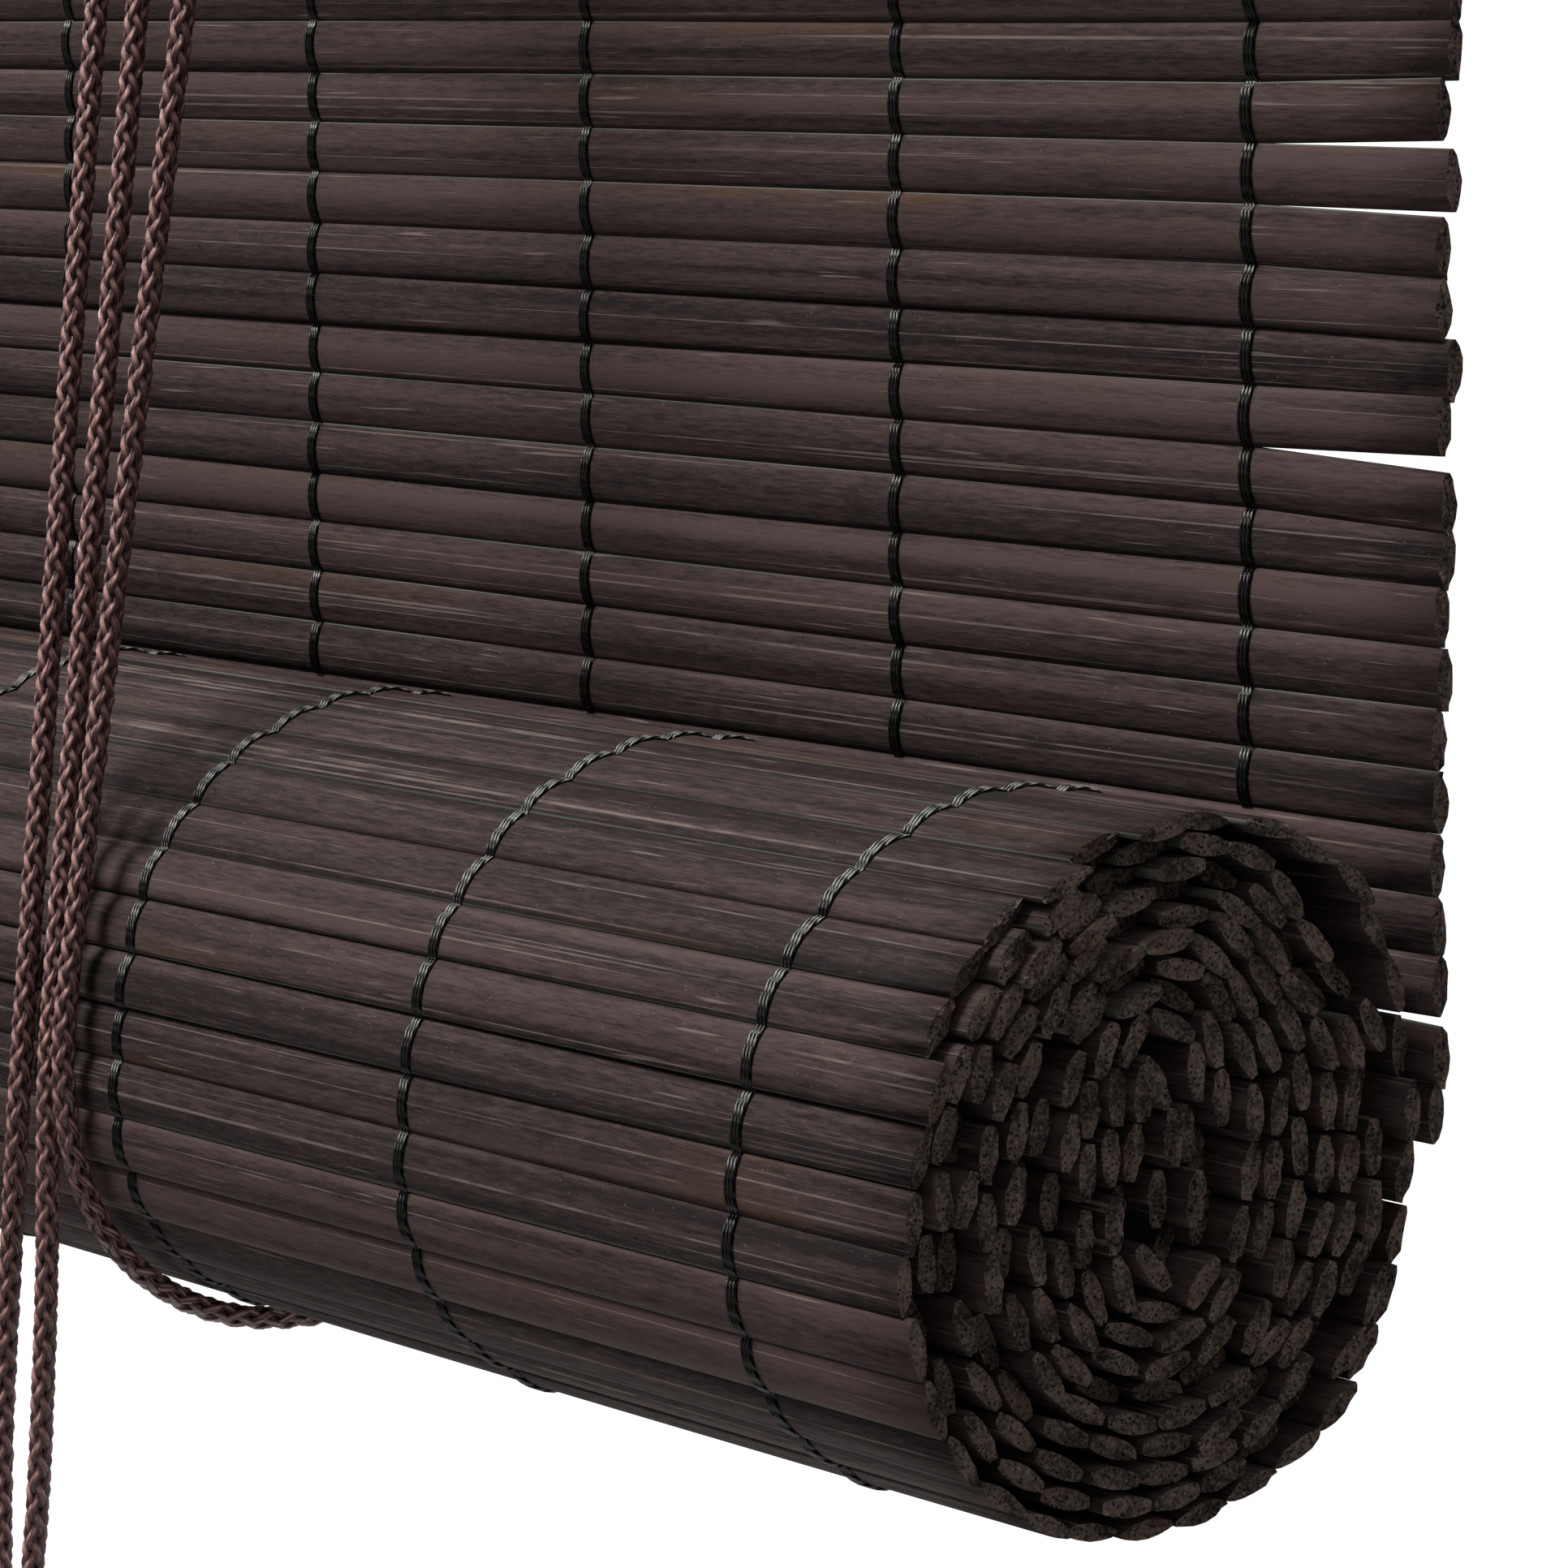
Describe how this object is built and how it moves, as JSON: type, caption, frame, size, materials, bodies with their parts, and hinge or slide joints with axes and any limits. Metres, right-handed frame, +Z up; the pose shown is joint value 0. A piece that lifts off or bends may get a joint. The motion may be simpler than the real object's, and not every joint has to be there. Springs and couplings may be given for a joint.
{
  "type": "roll-up slat blind",
  "caption": "Roll-up blind of stitched dark wooden slats on a timber headrail, its lower part in a roll, with lift cords over pulleys to a cord bell.",
  "frame": {"origin": "midway between the two hanging holes, in the plane of the hanging mat", "axes": "+X along the blind, +Y away from the room, +Z up"},
  "size_m": [0.8022, 0.0977, 0.3575],
  "materials": {
    "bamboo": "dark stained, satin",
    "stained_timber": "dark stained, satin",
    "thread": "twisted black thread",
    "braided_cord": "braided dark red-brown cord",
    "steel": "zinc plated",
    "wheel_plastic": "dark nylon"
  },
  "bodies": {
    "blind": {"headrail": "stained_timber", "clamp_strip": "stained_timber", "cord_bell": "stained_timber", "roll": "bamboo", "stitching": "thread", "lift_cord_left": "braided_cord", "lift_cord_right": "braided_cord", "clamp_screws": "steel", "hanger_screws": "steel", "bracket_screws": "steel", "hanger_plate_left": "steel", "hanger_plate_right": "steel", "pulley_bracket_left": "steel", "pulley_bracket_right": "steel", "pulley_pins": "steel", "cord_anchors": "steel", "slat_01": "bamboo", "slat_02": "bamboo", "slat_03": "bamboo", "slat_04": "bamboo", "slat_05": "bamboo", "slat_06": "bamboo", "slat_07": "bamboo", "slat_08": "bamboo", "slat_09": "bamboo", "slat_10": "bamboo", "slat_11": "bamboo", "slat_12": "bamboo", "slat_13": "bamboo", "slat_14": "bamboo", "slat_15": "bamboo", "slat_16": "bamboo", "slat_17": "bamboo", "slat_18": "bamboo", "slat_19": "bamboo", "slat_20": "bamboo", "slat_21": "bamboo", "slat_22": "bamboo", "slat_23": "bamboo", "slat_24": "bamboo", "slat_25": "bamboo", "slat_26": "bamboo", "slat_27": "bamboo", "slat_28": "bamboo", "slat_29": "bamboo", "slat_30": "bamboo", "slat_31": "bamboo", "slat_32": "bamboo", "slat_33": "bamboo", "slat_34": "bamboo"},
    "left_wheel": {"pulley_wheel_left": "wheel_plastic"},
    "cross_wheel": {"pulley_wheel_cross": "wheel_plastic"},
    "right_wheel": {"pulley_wheel_right": "wheel_plastic"}
  },
  "joints": [
    {"name": "left_wheel_turn", "type": "hinge", "parent": "blind", "child": "left_wheel", "pos_m": [-0.2165, -0.037, -0.024], "axis": [0, 1, 0], "continuous": true},
    {"name": "cross_wheel_turn", "type": "hinge", "parent": "blind", "child": "cross_wheel", "pos_m": [0.188, -0.037, -0.024], "axis": [0, 1, 0], "continuous": true},
    {"name": "right_wheel_turn", "type": "hinge", "parent": "blind", "child": "right_wheel", "pos_m": [0.2165, -0.037, -0.024], "axis": [0, 1, 0], "continuous": true}
  ],
  "couplings": [
    {"joint": "cross_wheel_turn", "follows": "left_wheel_turn", "ratio": 1},
    {"joint": "right_wheel_turn", "follows": "left_wheel_turn", "ratio": -1}
  ]
}
